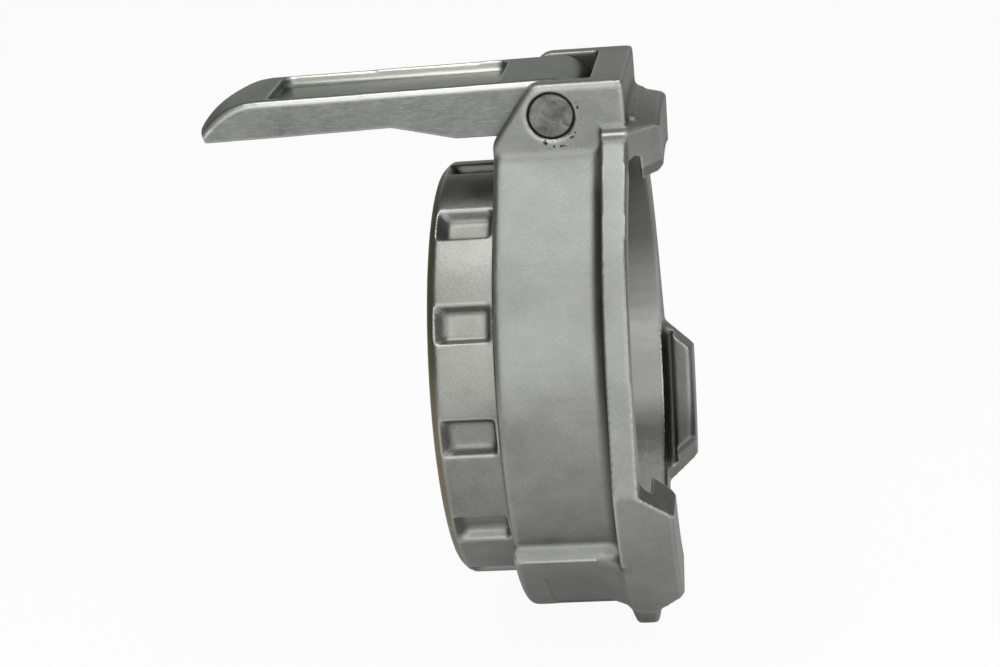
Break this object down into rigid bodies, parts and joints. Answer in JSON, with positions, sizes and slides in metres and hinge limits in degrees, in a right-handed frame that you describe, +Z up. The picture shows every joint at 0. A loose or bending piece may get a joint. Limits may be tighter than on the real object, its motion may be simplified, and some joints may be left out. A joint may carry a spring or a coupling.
{
  "type": "tank wagon coupling",
  "caption": "Cast hose coupling half: a threaded socket carries a swivelling ring whose hooked claws and closing lever clamp a mating flange.",
  "frame": {"origin": "centre of the threaded socket's rear face", "axes": "+X along the coupling's axis, out of its mouth; +Z up to the closed lever"},
  "size_m": [0.1259, 0.144, 0.1598],
  "materials": {
    "socket_steel": "blasted casting",
    "ring_steel": "blasted casting",
    "lever_steel": "blasted casting",
    "pin_steel": "rough cut ends",
    "wire_steel": "drawn wire",
    "seal_rubber": "matt"
  },
  "bodies": {
    "socket": {"socket": "socket_steel", "thread_seal": "seal_rubber", "coupling_seal": "seal_rubber", "retaining_wire": "wire_steel"},
    "ring": {"lever_ring": "ring_steel", "pivot_pin": "pin_steel"},
    "lever": {"lever": "lever_steel"}
  },
  "joints": [
    {"name": "ring_swivel", "type": "hinge", "parent": "socket", "child": "ring", "pos_m": [0.0232, 0, 0], "axis": [1, 0, 0], "continuous": true},
    {"name": "lever_hinge", "type": "hinge", "parent": "ring", "child": "lever", "pos_m": [0.0341, 0, 0.0756], "axis": [0, 1, 0], "range_deg": [0, 100]}
  ]
}
